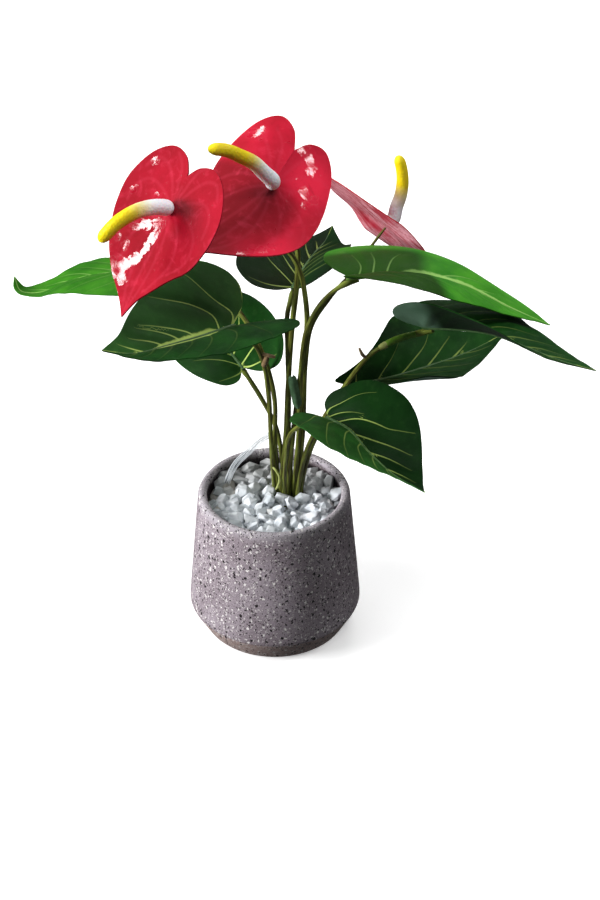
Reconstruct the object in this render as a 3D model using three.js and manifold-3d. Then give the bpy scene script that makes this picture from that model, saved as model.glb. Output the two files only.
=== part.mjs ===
// Potted anthurium: a speckled stone-cement pot with a chamfered foot, filled and topped with
// white marble chips, holding eight heart-shaped leaves and three flowers on slender stalks.
// Millimetres, +Z up. The origin is the centre of the pot's flat base.
import * as THREE from 'three';
import { mergeVertices } from 'three/addons/utils/BufferGeometryUtils.js';
import Module from 'manifold-3d';

const wasm = await Module();
wasm.setup();

// ---- Driving dimensions ----
const GAP = 0.3;

const POT = {
  height: 116,
  baseRadius: 54.5,
  cornerRadius: 65,
  cornerHeight: 20,
  rimRadius: 55.5,
  wall: 6,
  floor: 9,
  lip: 2.4,
  segments: 56,
};

const FILLER = { top: 96 };

const GRAVEL = {
  bedTop: 102,
  chips: 92,
  chipRadius: 5.4,
  sizeSpread: 0.3,
  cornerSpread: 0.4,
  squash: [1, 0.85, 0.7],
  tilt: 0.9,
  wallMargin: 3.5,
  crownRise: 3,
  riseSpread: 2,
  sinkDepth: 1.2,
  seed: 11,
};

const STALK = {
  footDepth: 40,
  steady: 7,
  bend: 6,
  seat: 0.6,
  behindBase: 0.05,
  pastBase: 0.03,
  leafRadius: 1.7,
  flowerRadius: 1.9,
  sides: 8,
  steps: 18,
  holeClearance: 0.35,
};

// The stalks stand upright in a tight bunch: [x, y] offsets from the bunch's centre.
const BUNCH = { x: 10, y: 8, straightTop: 112 };
const FOOT = {
  leafA: [-7.5, 4.4],
  leafB: [-10, 0],
  leafC: [-2.5, 4.4],
  leafD: [2.5, 4.4],
  leafE: [5, 0],
  leafF: [7.5, -4.4],
  leafG: [-2.5, -4.4],
  leafH: [10, 0],
  flower1: [0, 0],
  flower2: [-5, 0],
  flower3: [7.5, 4.4],
};

// Half outlines in units of the midrib's length: [across, along], from the sinus round the
// basal lobe to the tip.
const LEAF_OUTLINE = [
  [0, -0.01], [0.09, -0.17], [0.22, -0.25], [0.35, -0.15], [0.39, 0.06],
  [0.345, 0.3], [0.235, 0.55], [0.09, 0.82], [0, 1],
];
const SPATHE_OUTLINE = [
  [0, -0.36], [0.1, -0.5], [0.27, -0.55], [0.44, -0.42], [0.55, -0.15],
  [0.55, 0.14], [0.46, 0.4], [0.3, 0.64], [0.12, 0.83], [0, 1],
];

const LEAF = { thickness: 0.7, across: 3, along: 15, crowding: 1.3 };
const SPATHE = { thickness: 0.9, across: 3, along: 18, crowding: 1.3 };
const SPADIX = {
  baseRadius: 5.3,
  tipRadius: 4.1,
  seat: 0.95,
  seatTo: 0.08,
  seatClosing: 0.75,
  tipFrom: 0.93,
  tipClosing: 0.85,
  sides: 10,
  steps: 14,
};

// Every blade: its midrib from the stalk to the tip, where its upper face looks at the base
// and at the tip ([azimuth, elevation] in degrees, azimuth 0 is -Y), how far each half folds
// up along the midrib at the base and at the tip, how far it cups on towards the margin, its
// width, how far the lobe sweeps forward, and the lobe's length. Pairs are [left, right] as
// seen from above, looking from the stalk to the tip.
const LEAVES = {
  leafA: {
    midrib: [[-70, 62, 265], [-91, 62, 266], [-116, 63, 263], [-143, 66, 256],
      [-167, 69, 244], [-184, 73, 242], [-189, 79, 251]],
    face: [[-10, 94], [-11, 96]],
    fold: [[33, 16], [-11, 14]],
    cup: [-58, -10],
    width: [1.05, 0.98],
    sweep: [5, 9],
    lobe: [0.6, 0.9],
    stalk: [[1, 8, 154], [1, 6, 191], [-5, 2, 226], [-12, 6, 243], [-22, 15, 257],
      [-33, 28, 263], [-46, 42, 264], [-58, 53, 264]],
  },
  leafB: {
    midrib: [[-27, -22, 270], [-47, -47, 277], [-67, -71, 285], [-86, -95, 294],
      [-104, -117, 310]],
    face: [[-5, 69], [-4, 68]],
    fold: [[28, 15], [23, 17]],
    cup: [1, -4],
    width: [1, 1.08],
    sweep: [4, 0],
    lobe: [1, 1],
    stalk: [[-2, 4, 160], [-3, 0, 197], [-6, -6, 228], [-12, -12, 249]],
  },
  leafC: {
    midrib: [[-23, 24, 208], [-38, 52, 212], [-55, 85, 214], [-73, 124, 212]],
    face: [[3, 44], [-2, 39]],
    fold: [[34, 13], [31, 14]],
    cup: [-4, 15],
    width: [1.05, 1.06],
    sweep: [21, -5],
    lobe: [1, 1],
    stalk: [[2, 15, 160], [-8, 18, 183]],
  },
  leafD: {
    midrib: [[14, 52, 258], [22, 85, 255], [30, 114, 251], [38, 138, 248], [44, 159, 250]],
    face: [[-19, 37], [-21, 37]],
    fold: [[34, 8], [38, 11]],
    cup: [-3, -19],
    width: [1.05, 1.06],
    sweep: [2, 5],
    lobe: [1, 1],
    stalk: [[11, 17, 151], [11, 23, 182], [10, 33, 219], [10, 41, 241]],
  },
  leafE: {
    midrib: [[55, 3, 293], [80, 10, 292], [106, 13, 289], [134, 12, 281], [162, 8, 268],
      [192, -1, 258]],
    face: [[12, 100], [12, 96]],
    fold: [[20, 6], [31, 9]],
    cup: [-37, -44],
    width: [1, 1.16],
    sweep: [17, 32],
    lobe: [0.55, 0.7],
    stalk: [[18, 3, 164], [20, 2, 225], [24, 3, 252], [34, 5, 272]],
  },
  leafF: {
    midrib: [[107, 1, 255], [129, -11, 261], [151, -23, 264], [173, -32, 259],
      [196, -41, 254], [218, -48, 251]],
    face: [[-3, 96], [-4, 102]],
    fold: [[16, 9], [41, 11]],
    cup: [-36, 0],
    width: [0.98, 1.03],
    sweep: [-13, 18],
    lobe: [0.6, 0.7],
    stalk: [[24, -2, 153], [38, -9, 190], [51, -14, 217], [68, -12, 241], [88, -6, 250]],
  },
  leafG: {
    midrib: [[39, -35, 203], [53, -55, 207], [65, -79, 206], [81, -108, 208],
      [99, -142, 219]],
    face: [[-51, 90], [-52, 116]],
    fold: [[32, -9], [26, 15]],
    cup: [57, -16],
    width: [1.06, 0.95],
    sweep: [48, 29],
    lobe: [1, 0.6],
    stalk: [[9, -5, 150], [12, -12, 173], [21, -21, 188]],
  },
  leafH: {
    midrib: [[55, 13, 199], [85, 33, 193], [115, 51, 192], [145, 66, 195], [173, 80, 203]],
    face: [[-7, 72], [-8, 74]],
    fold: [[18, 14], [37, 13]],
    cup: [-4, 14],
    width: [1, 1.1],
    sweep: [74, 29],
    lobe: [1, 1],
    stalk: [[28, 11, 148], [40, 13, 173]],
  },
};

const FLOWERS = {
  flower1: {
    midrib: [[-61, -58, 377], [-69, -65, 362], [-78, -73, 347], [-86, -83, 333],
      [-93, -94, 320]],
    face: [[-47, 27], [-48, -2]],
    fold: [[3, 4], [-4, 9]],
    cup: [3, 19],
    width: [1.08, 1.05],
    sweep: [2, 5],
    lobe: [0.83, 0.91],
    stalk: [[14, 8, 160], [18, 9, 198], [22, 9, 231], [24, 8, 252], [23, 7, 273],
      [19, 6, 296], [11, 6, 312], [-3, 2, 322], [-19, -6, 328], [-36, -17, 334],
      [-51, -26, 341], [-58, -36, 353]],
    spadix: [[-67, -63, 381], [-75, -72, 385], [-83, -80, 386], [-93, -86, 382],
      [-104, -91, 372]],
  },
  flower2: {
    midrib: [[0, 5, 361], [-9, -10, 353], [-21, -25, 348], [-37, -41, 345], [-56, -58, 346]],
    face: [[26, 46], [26, 84]],
    fold: [[-11, 4], [-6, 3]],
    cup: [20, -43],
    width: [0.84, 0.88],
    sweep: [12, -3],
    lobe: [1.05, 1.06],
    stalk: [[9, 6, 164], [11, 7, 209], [14, 10, 254], [17, 13, 284], [17, 14, 312],
      [9, 13, 338]],
    spadix: [[1, 1, 367], [-4, -4, 375], [-11, -11, 386], [-19, -18, 394], [-28, -24, 401],
      [-39, -28, 404]],
  },
  flower3: {
    midrib: [[83, 114, 273], [65, 117, 289], [46, 121, 305], [24, 126, 320]],
    face: [[146, 57], [84, 53]],
    fold: [[-10, 16], [-2, -31]],
    cup: [37, -10],
    width: [0.7, 1.22],
    sweep: [-6, 15],
    lobe: [0.86, 1.06],
    stalk: [[21, 11, 158], [23, 18, 215], [27, 32, 237], [40, 54, 247], [57, 81, 253],
      [69, 102, 259]],
    spadix: [[88, 117, 278], [90, 119, 286], [93, 120, 296], [94, 121, 306], [93, 122, 316],
      [90, 123, 326]],
  },
};

// A flat strip of clear film that leans from the chips to the stalks.
const STRIP = {
  width: 4.5,
  thickness: 0.6,
  steps: 10,
  route: [[-39, 18, 99], [-30, 17.5, 124], [-20, 17, 137], [-10, 16, 149], [0, 15, 156]],
};

const FINISHES = {
  pot: { color: 0x82767a, roughness: 0.75, metalness: 0 },
  filler: { color: 0x4a4238, roughness: 1, metalness: 0 },
  gravel: { color: 0xe3e6e4, roughness: 0.7, metalness: 0 },
  darkLeaf: { color: 0x1c3f1c, roughness: 0.5, metalness: 0 },
  brightLeaf: { color: 0x4b8f2a, roughness: 0.5, metalness: 0 },
  stalk: { color: 0x5c6428, roughness: 0.55, metalness: 0 },
  spathe: { color: 0xc41e3a, roughness: 0.18, metalness: 0 },
  spadix: { color: 0xe6d63a, roughness: 0.5, metalness: 0 },
  film: { color: 0xdfe6ea, roughness: 0.1, metalness: 0 },
};

// ---- Helpers ----
const plant = new THREE.Group();

function addPiece(name, geometry, finish) {
  const mesh = new THREE.Mesh(geometry, new THREE.MeshStandardMaterial(finish));
  mesh.name = name;
  plant.add(mesh);
}

function geometryFrom(points, triangles) {
  const geometry = new THREE.BufferGeometry();
  const flat = points.flatMap((point) => [point.x, point.y, point.z]);
  geometry.setAttribute('position', new THREE.Float32BufferAttribute(flat, 3));
  geometry.setIndex(triangles.flat());
  return geometry;
}

function toSolid(geometry) {
  const bare = geometry.clone();
  bare.deleteAttribute('normal');
  bare.deleteAttribute('uv');
  const merged = mergeVertices(bare, 1e-4);
  const vertProperties = new Float32Array(merged.attributes.position.array);
  const triVerts = new Uint32Array(merged.index.array);
  return new wasm.Manifold(new wasm.Mesh({ numProp: 3, vertProperties, triVerts }));
}

function toGeometry(solid) {
  const mesh = solid.getMesh();
  const geometry = new THREE.BufferGeometry();
  const position = new THREE.Float32BufferAttribute(mesh.vertProperties, mesh.numProp);
  geometry.setAttribute('position', position);
  geometry.setIndex(new THREE.Uint32BufferAttribute(mesh.triVerts, 1));
  return geometry;
}

// A solid of revolution about Z from an [radius, height] profile.
function turned(profile, segments) {
  const points = profile.map(([radius, height]) => new THREE.Vector2(radius, height));
  return new THREE.LatheGeometry(points, segments).rotateX(Math.PI / 2);
}

function seededRandom(seed) {
  let state = seed;
  return () => {
    state = (state * 1664525 + 1013904223) % 4294967296;
    return state / 4294967296;
  };
}

const toVectors = (rows) => rows.map(([x, y, z]) => new THREE.Vector3(x, y, z));
const smoothStep = (t) => t * t * (3 - 2 * t);

function smoothCurve(rows) {
  return new THREE.CatmullRomCurve3(toVectors(rows), false, 'catmullrom', 0.5);
}

// A curve that keeps straight stretches straight, for points at uneven distances.
function evenCurve(rows) {
  return new THREE.CatmullRomCurve3(toVectors(rows), false, 'centripetal');
}

// A closed round bar along a curve, with flat ends and a radius that may change on the way.
function roundBar(curve, radiusAt, sides, steps) {
  const frames = curve.computeFrenetFrames(steps, false);
  const points = [];
  for (let step = 0; step <= steps; step += 1) {
    const centre = curve.getPointAt(step / steps);
    const radius = radiusAt(step / steps);
    for (let side = 0; side < sides; side += 1) {
      const angle = (side / sides) * 2 * Math.PI;
      points.push(centre.clone()
        .addScaledVector(frames.normals[step], radius * Math.cos(angle))
        .addScaledVector(frames.binormals[step], radius * Math.sin(angle)));
    }
  }
  const triangles = [];
  for (let step = 0; step < steps; step += 1) {
    for (let side = 0; side < sides; side += 1) {
      const next = (side + 1) % sides;
      const a = step * sides + side;
      const b = step * sides + next;
      triangles.push([a, b, b + sides], [a, b + sides, a + sides]);
    }
  }
  const last = steps * sides;
  for (let side = 1; side < sides - 1; side += 1) {
    triangles.push([0, side + 1, side], [last, last + side, last + side + 1]);
  }
  return geometryFrom(points, triangles);
}

// ---- Blades ----
function facing([azimuth, elevation]) {
  const turn = THREE.MathUtils.degToRad(azimuth);
  const rise = THREE.MathUtils.degToRad(elevation);
  return new THREE.Vector3(
    Math.cos(rise) * Math.sin(turn),
    -Math.cos(rise) * Math.cos(turn),
    Math.sin(rise),
  );
}

// The midrib's point and the blade's axes there; the blade runs straight on behind its base.
function bladeFrame(blade, curve, length, along) {
  const inside = THREE.MathUtils.clamp(along, 0, 1);
  const tangent = curve.getTangentAt(inside);
  const point = curve.getPointAt(inside).addScaledVector(tangent, (along - inside) * length);
  const face = facing(blade.face[0]).lerp(facing(blade.face[1]), inside);
  const across = new THREE.Vector3().crossVectors(tangent, face).normalize();
  const up = new THREE.Vector3().crossVectors(across, tangent);
  return { point, across, up };
}

// A half blade's cross-section rises by its fold and then bends on, as far as the margin.
function sectionOffset(distance, halfWidth, fold, cup) {
  const parts = 6;
  let out = 0;
  let rise = 0;
  for (let part = 0; part < parts; part += 1) {
    const share = ((part + 0.5) / parts) * (distance / halfWidth);
    const angle = THREE.MathUtils.degToRad(fold + cup * share);
    out += (Math.cos(angle) * distance) / parts;
    rise += (Math.sin(angle) * distance) / parts;
  }
  return { out, rise };
}

// A grid of points on one half: rows run from the sinus to the tip, columns to the margin.
function halfBlade(blade, curve, outline, side, shape) {
  const length = curve.getLength();
  const control = outline.map(([across, along]) => new THREE.Vector2(
    across * blade.width[side],
    along < 0 ? along * blade.lobe[side] : along,
  ));
  const margin = new THREE.SplineCurve(control).getPoints(shape.along);
  const halfWidth = Math.max(...margin.map((point) => point.x)) * length;
  const sign = side === 0 ? -1 : 1;
  const rows = [];
  for (let row = 0; row <= shape.along; row += 1) {
    const root = (row / shape.along) ** shape.crowding;
    const columns = [];
    for (let column = 0; column <= shape.across; column += 1) {
      const share = column / shape.across;
      const reach = margin[row].x * share * length;
      const along = root + (margin[row].y - root) * share;
      const fade = 1 - THREE.MathUtils.clamp((along + 0.25) / 0.9, 0, 1);
      const sweep = THREE.MathUtils.degToRad(blade.sweep[side]) * fade;
      const shifted = Math.min(along + (Math.sin(sweep) * reach) / length, 1);
      const { point, across, up } = bladeFrame(blade, curve, length, shifted);
      const [foldBase, foldTip] = blade.fold[side];
      const blend = smoothStep(THREE.MathUtils.clamp(along, 0, 1));
      const fold = foldBase + (foldTip - foldBase) * blend;
      const offset = sectionOffset(reach * Math.cos(sweep), halfWidth, fold, blade.cup[side]);
      point.addScaledVector(across, sign * offset.out).addScaledVector(up, offset.rise);
      columns.push(point);
    }
    rows.push(columns);
  }
  return rows;
}

// Both halves share the midrib and the seam behind the base; top and bottom are offset from
// the middle surface and split into triangles alike.
function bladeGeometry(blade, outline, shape) {
  const curve = smoothCurve(blade.midrib);
  const points = [];
  const indexOf = new Map();
  const halves = [0, 1].map((side) => halfBlade(blade, curve, outline, side, shape));
  const keyOf = (side, row, column) => {
    if (column === 0 || row === shape.along) return `rib ${row}`;
    return row === 0 ? `seam ${column}` : `${side} ${row} ${column}`;
  };
  const vertex = (side, row, column) => {
    const key = keyOf(side, row, column);
    if (!indexOf.has(key)) {
      indexOf.set(key, points.length);
      points.push(halves[side][row][column]);
    }
    return indexOf.get(key);
  };
  const triangles = [];
  const addTriangle = (a, b, c) => {
    if (a !== b && b !== c && c !== a) triangles.push([a, b, c]);
  };
  for (let side = 0; side < 2; side += 1) {
    for (let row = 0; row < shape.along; row += 1) {
      for (let column = 0; column < shape.across; column += 1) {
        const a = vertex(side, row, column);
        const b = vertex(side, row, column + 1);
        const c = vertex(side, row + 1, column + 1);
        const d = vertex(side, row + 1, column);
        if (side === 1) {
          addTriangle(a, b, c);
          addTriangle(a, c, d);
        } else {
          addTriangle(a, c, b);
          addTriangle(a, d, c);
        }
      }
    }
  }
  const normals = points.map(() => new THREE.Vector3());
  triangles.forEach(([a, b, c]) => {
    const normal = new THREE.Vector3().subVectors(points[b], points[a])
      .cross(new THREE.Vector3().subVectors(points[c], points[a]));
    [a, b, c].forEach((index) => normals[index].add(normal));
  });
  normals.forEach((normal) => normal.normalize());
  const half = shape.thickness / 2;
  const count = points.length;
  const skin = [half, -half].flatMap((offset) => points.map((point, index) => (
    point.clone().addScaledVector(normals[index], offset)
  )));
  const faces = triangles.flatMap(([a, b, c]) => [[a, b, c], [count + a, count + c, count + b]]);
  const edge = [];
  for (let row = 0; row <= shape.along; row += 1) edge.push(vertex(1, row, shape.across));
  for (let row = shape.along - 1; row > 0; row -= 1) edge.push(vertex(0, row, shape.across));
  edge.forEach((a, position) => {
    const b = edge[(position + 1) % edge.length];
    faces.push([b, a, count + a], [b, count + a, count + b]);
  });
  return geometryFrom(skin, faces);
}

// Where a stalk may end under the blade, or a spadix start on it.
function bladeAttachment(blade, along, offset) {
  const curve = smoothCurve(blade.midrib);
  const { point, up } = bladeFrame(blade, curve, curve.getLength(), along);
  return point.addScaledVector(up, offset).toArray();
}

// ---- Stalks ----
function stalkRoute(name, blade, ends) {
  const [x, y] = FOOT[name];
  const foot = [BUNCH.x + x, BUNCH.y + y];
  const top = BUNCH.straightTop;
  return [[...foot, top - STALK.footDepth], [...foot, top - STALK.steady], [...foot, top],
    ...blade.stalk, ...ends];
}

function leafStalk(name, leaf) {
  const drop = -(LEAF.thickness / 2 + GAP + STALK.leafRadius);
  const ends = [
    bladeAttachment(leaf, -STALK.behindBase, 2 * drop),
    bladeAttachment(leaf, STALK.pastBase, drop),
  ];
  return evenCurve(stalkRoute(name, leaf, ends));
}

function flowerStalk(name, flower) {
  const end = -(SPATHE.thickness / 2 + STALK.seat);
  const ends = [bladeAttachment(flower, 0, end - STALK.bend), bladeAttachment(flower, 0, end)];
  return evenCurve(stalkRoute(name, flower, ends));
}

function stalkGeometry(curve, radius) {
  return roundBar(curve, () => radius, STALK.sides, STALK.steps);
}

function spadixGeometry(flower) {
  const start = SPATHE.thickness / 2 + SPADIX.seat;
  const curve = evenCurve([bladeAttachment(flower, 0, start), ...flower.spadix]);
  const radiusAt = (along) => {
    const body = THREE.MathUtils.lerp(SPADIX.baseRadius, SPADIX.tipRadius, along);
    const round = Math.max(0, (along - SPADIX.tipFrom) / (1 - SPADIX.tipFrom));
    const seat = Math.max(0, 1 - along / SPADIX.seatTo);
    return body * Math.sqrt(1 - SPADIX.tipClosing * round * round - SPADIX.seatClosing * seat * seat);
  };
  return roundBar(curve, radiusAt, SPADIX.sides, SPADIX.steps);
}

// ---- Pot, filler and chips ----
// The inner wall's radius runs parallel to the outer wall above the corner.
function innerRadius(height) {
  const share = (height - POT.cornerHeight) / (POT.height - POT.cornerHeight);
  if (share < 0) {
    const drop = height / POT.cornerHeight;
    return THREE.MathUtils.lerp(POT.baseRadius, POT.cornerRadius, drop) - POT.wall;
  }
  return THREE.MathUtils.lerp(POT.cornerRadius, POT.rimRadius, share) - POT.wall;
}

function potGeometry() {
  const { height, lip, rimRadius, wall } = POT;
  const inner = rimRadius - wall;
  const nearTop = height - lip * 0.3;
  return turned([
    [0, 0],
    [POT.baseRadius, 0],
    [POT.cornerRadius, POT.cornerHeight],
    [rimRadius + lip * 0.25, height - lip],
    [rimRadius - lip * 0.25, nearTop],
    [rimRadius - lip, height],
    [inner + lip, height],
    [inner + lip * 0.3, nearTop],
    [innerRadius(height - lip), height - lip],
    [innerRadius(POT.cornerHeight), POT.cornerHeight],
    [innerRadius(POT.floor), POT.floor],
    [0, POT.floor],
  ], POT.segments);
}

// A plug that fits the pot's hollow between two heights, a gap clear of wall and floor.
function plugSolid(bottom, top, clearance) {
  const heights = [bottom, POT.cornerHeight, top].filter((z) => z >= bottom && z <= top);
  const wall = heights.map((z) => [innerRadius(z) - clearance, z]);
  return toSolid(turned([[0, bottom], ...wall, [0, top]], POT.segments));
}

function stalkHoles(top) {
  const bottom = BUNCH.straightTop - STALK.footDepth - GAP;
  const holes = Object.entries(FOOT).map(([name, [x, y]]) => {
    const stalk = name.startsWith('flower') ? STALK.flowerRadius : STALK.leafRadius;
    const radius = stalk + STALK.holeClearance;
    const hole = turned([[0, bottom], [radius, bottom], [radius, top], [0, top]], 10);
    return toSolid(hole.translate(BUNCH.x + x, BUNCH.y + y, 0));
  });
  return wasm.Manifold.union(holes);
}

function fillerGeometry() {
  const plug = plugSolid(POT.floor + GAP, FILLER.top, GAP);
  return toGeometry(plug.subtract(stalkHoles(POT.height)));
}

// One marble chip: a squashed icosahedron with its corners pulled in and out.
function chipGeometry(random, size) {
  const chip = new THREE.IcosahedronGeometry(size, 0);
  chip.deleteAttribute('normal');
  chip.deleteAttribute('uv');
  const merged = mergeVertices(chip, 1e-4);
  const corners = merged.attributes.position;
  for (let index = 0; index < corners.count; index += 1) {
    const pull = 1 + GRAVEL.cornerSpread * (random() - 0.5);
    corners.setXYZ(
      index,
      corners.getX(index) * pull * GRAVEL.squash[0],
      corners.getY(index) * pull * GRAVEL.squash[1],
      corners.getZ(index) * pull * GRAVEL.squash[2],
    );
  }
  merged.rotateX(random() * GRAVEL.tilt).rotateY(random() * GRAVEL.tilt);
  return merged.rotateZ(random() * 2 * Math.PI);
}

// Chips lie in a sunflower spiral, a little higher round the stalks, sunk into one bed that
// has plain holes for the stalks and a slot for the strip's foot.
function gravelGeometry() {
  const random = seededRandom(GRAVEL.seed);
  const goldenAngle = Math.PI * (3 - Math.sqrt(5));
  const reach = innerRadius(GRAVEL.bedTop) - GRAVEL.wallMargin;
  const pieces = [plugSolid(FILLER.top + GAP, GRAVEL.bedTop, GAP)];
  for (let chip = 0; chip < GRAVEL.chips; chip += 1) {
    const share = Math.sqrt((chip + 0.5) / GRAVEL.chips);
    const size = GRAVEL.chipRadius * (1 + GRAVEL.sizeSpread * (random() - 0.5));
    const geometry = chipGeometry(random, size);
    const radius = share * reach;
    const angle = chip * goldenAngle;
    const crown = GRAVEL.crownRise * (1 - share);
    const rise = crown - GRAVEL.sinkDepth + GRAVEL.riseSpread * random();
    geometry.translate(
      radius * Math.cos(angle),
      radius * Math.sin(angle),
      GRAVEL.bedTop + rise,
    );
    pieces.push(toSolid(geometry));
  }
  const hollow = plugSolid(FILLER.top + GAP, POT.height, GAP);
  const heap = wasm.Manifold.union(pieces).intersect(hollow);
  const slot = toSolid(stripBar(GAP));
  return toGeometry(heap.subtract(stalkHoles(POT.height)).subtract(slot));
}

function stripBar(clearance) {
  const half = STRIP.width / 2 + clearance;
  const thin = STRIP.thickness / 2 + clearance;
  const [[x, y, foot], ...rest] = STRIP.route;
  const section = new THREE.Shape([
    new THREE.Vector2(-thin, -half),
    new THREE.Vector2(thin, -half),
    new THREE.Vector2(thin, half),
    new THREE.Vector2(-thin, half),
  ]);
  return new THREE.ExtrudeGeometry(section, {
    steps: STRIP.steps,
    bevelEnabled: false,
    extrudePath: smoothCurve([[x, y, foot - clearance], ...rest]),
  });
}

// ---- Assembly ----
addPiece('pot', potGeometry(), FINISHES.pot);
addPiece('filler_block', fillerGeometry(), FINISHES.filler);
addPiece('marble_chips', gravelGeometry(), FINISHES.gravel);
addPiece('clear_film_strip', stripBar(0), FINISHES.film);

Object.entries(LEAVES).forEach(([name, leaf]) => {
  const label = name.replace('leaf', 'leaf_').toLowerCase();
  const bright = name === 'leafA' || name === 'leafE';
  const finish = bright ? FINISHES.brightLeaf : FINISHES.darkLeaf;
  addPiece(`${label}_blade`, bladeGeometry(leaf, LEAF_OUTLINE, LEAF), finish);
  const stalk = stalkGeometry(leafStalk(name, leaf), STALK.leafRadius);
  addPiece(`${label}_stalk`, stalk, FINISHES.stalk);
});

Object.entries(FLOWERS).forEach(([name, flower]) => {
  const label = name.replace('flower', 'flower_');
  addPiece(`${label}_spathe`, bladeGeometry(flower, SPATHE_OUTLINE, SPATHE), FINISHES.spathe);
  addPiece(`${label}_spadix`, spadixGeometry(flower), FINISHES.spadix);
  const stalk = stalkGeometry(flowerStalk(name, flower), STALK.flowerRadius);
  addPiece(`${label}_stalk`, stalk, FINISHES.stalk);
});

export default plant;
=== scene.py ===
import bpy
import math
import random
import numpy as np
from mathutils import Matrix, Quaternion, Vector, noise


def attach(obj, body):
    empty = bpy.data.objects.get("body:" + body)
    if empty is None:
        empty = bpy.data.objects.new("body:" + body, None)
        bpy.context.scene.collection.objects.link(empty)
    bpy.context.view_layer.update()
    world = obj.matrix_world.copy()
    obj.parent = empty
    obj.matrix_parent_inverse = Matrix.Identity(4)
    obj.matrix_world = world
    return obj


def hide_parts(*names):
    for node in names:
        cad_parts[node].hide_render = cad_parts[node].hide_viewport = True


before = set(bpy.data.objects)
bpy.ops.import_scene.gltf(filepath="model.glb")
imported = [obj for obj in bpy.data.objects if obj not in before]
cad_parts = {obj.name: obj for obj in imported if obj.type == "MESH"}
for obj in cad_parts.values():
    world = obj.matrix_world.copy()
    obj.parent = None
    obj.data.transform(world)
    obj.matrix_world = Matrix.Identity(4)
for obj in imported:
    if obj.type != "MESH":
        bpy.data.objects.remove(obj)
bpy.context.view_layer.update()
print("frame loaded")

mm = 0.001  # the tables of the plant and its pot are in millimetres
weldDistance = 0.00001  # metres
softEdge = 60  # degrees, below which an edge is shaded smooth


# working helpers

def paint(red, green, blue):  # screen colour 0-255 to the linear colour that shaders use
    steps = [value / 255 for value in (red, green, blue)]
    return tuple(s / 12.92 if s <= 0.04045 else ((s + 0.055) / 1.055) ** 2.4 for s in steps) + (1.0,)


def clearSelection():
    bpy.ops.object.select_all(action="DESELECT")


def makeActive(piece):
    clearSelection()
    piece.select_set(True)
    bpy.context.view_layer.objects.active = piece


def selectAll(action="SELECT"):
    bpy.ops.mesh.select_all(action=action)


def startEdit():  # edit mode with all of the active piece selected
    bpy.ops.object.mode_set(mode="EDIT")
    selectAll()


def endEdit():
    bpy.ops.object.mode_set(mode="OBJECT")


def weld(piece):
    makeActive(piece)
    startEdit()
    bpy.ops.mesh.remove_doubles(threshold=weldDistance)
    endEdit()


def smooth(piece, angle=softEdge):
    makeActive(piece)
    bpy.ops.object.shade_smooth_by_angle(angle=math.radians(angle))


def settle(piece, slot, *nodes):  # what every finished piece gets
    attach(piece, "root")
    if nodes:
        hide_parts(*nodes)


def nodeName(name, ending):  # the node of the CAD model that a plant piece replaces
    return name.replace("leaf", "leaf_").replace("flower", "flower_").lower() + ending


def layGrid(name, points, across, along):
    # a grid primitive laid on a table of points, with its UV map in the surface's own measure
    rows, columns = points.shape[0] - 1, points.shape[1] - 1
    clearSelection()
    bpy.ops.mesh.primitive_grid_add(x_subdivisions=columns, y_subdivisions=rows, size=2)
    piece = bpy.context.object
    mesh = piece.data
    piece.name = mesh.name = name
    flat = np.empty(len(mesh.vertices) * 3, np.float32)
    mesh.vertices.foreach_get("co", flat)
    start = flat.reshape(-1, 3)
    spot = (np.rint((start[:, 1] + 1) / 2 * rows).astype(int),
            np.rint((start[:, 0] + 1) / 2 * columns).astype(int))
    mesh.vertices.foreach_set("co", (points[spot] * mm).astype(np.float32).ravel())
    corner = np.empty(len(mesh.loops), np.int32)
    mesh.loops.foreach_get("vertex_index", corner)
    place = np.stack([across[spot], along[spot]], axis=1)[corner]
    mesh.uv_layers.active.data.foreach_set("uv", place.astype(np.float32).ravel())
    mesh.update()
    return piece, spot  # the spot is each vertex's row and column in the table


def markPoints(piece, name, values):
    attribute = piece.data.attributes.new(name, "FLOAT", "POINT")
    attribute.data.foreach_set("value", np.asarray(values, np.float32))


def finishSheet(piece, thickness, finishes, angle=softEdge):  # gives a sheet its wall and its finishes
    for finish in finishes:
        piece.data.materials.append(finish)
    skin = piece.modifiers.new("skin", "SOLIDIFY")
    skin.thickness = thickness * mm
    skin.offset = 0
    skin.material_offset = len(finishes) - 1
    makeActive(piece)
    bpy.ops.object.modifier_apply(modifier="skin")
    smooth(piece, angle)


# material helpers: what is plugged in says which material a new node belongs to

def startMaterial(name):  # with the place of each point on the object, which its patterns read
    material = bpy.data.materials.new(name)
    material.use_nodes = True
    return material, coordinates(material)


def plug(socket, value):
    if isinstance(value, bpy.types.NodeSocket):
        socket.id_data.links.new(value, socket)
    else:
        socket.default_value = value


def addNode(kind, inputs, tree=None, **settings):
    tree = tree or next(value.id_data for value in inputs.values() if isinstance(value, bpy.types.NodeSocket))
    node = tree.nodes.new("ShaderNode" + kind)
    for key, value in settings.items():
        setattr(node, key, value)
    for key, value in inputs.items():
        plug(node.inputs[key], value)
    return node


def coordinates(material, kind="Object"):
    return addNode("TexCoord", {}, material.node_tree).outputs[kind]


def readMarks(material, *names):  # the values that markPoints has put on the piece
    return [addNode("Attribute", {}, material.node_tree, attribute_name=name).outputs["Fac"] for name in names]


def layered(base, *coats):  # a coat is how far it covers and its colour; colours are screen colours or sockets
    for factor, colour in coats:
        first, second = [paint(*side) if isinstance(side, tuple) else side for side in (base, colour)]
        base = addNode("Mix", {0: factor, 6: first, 7: second}, data_type="RGBA").outputs[2]
    return base


def calc(operation, first, second=0.0, clamp=False):
    return addNode("Math", {0: first, 1: second}, operation=operation, use_clamp=clamp).outputs[0]


def plus(first, second):
    return calc("ADD", first, second)


def minus(first, second):
    return calc("SUBTRACT", first, second)


def times(first, second, clamp=False):
    return calc("MULTIPLY", first, second, clamp)


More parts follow.
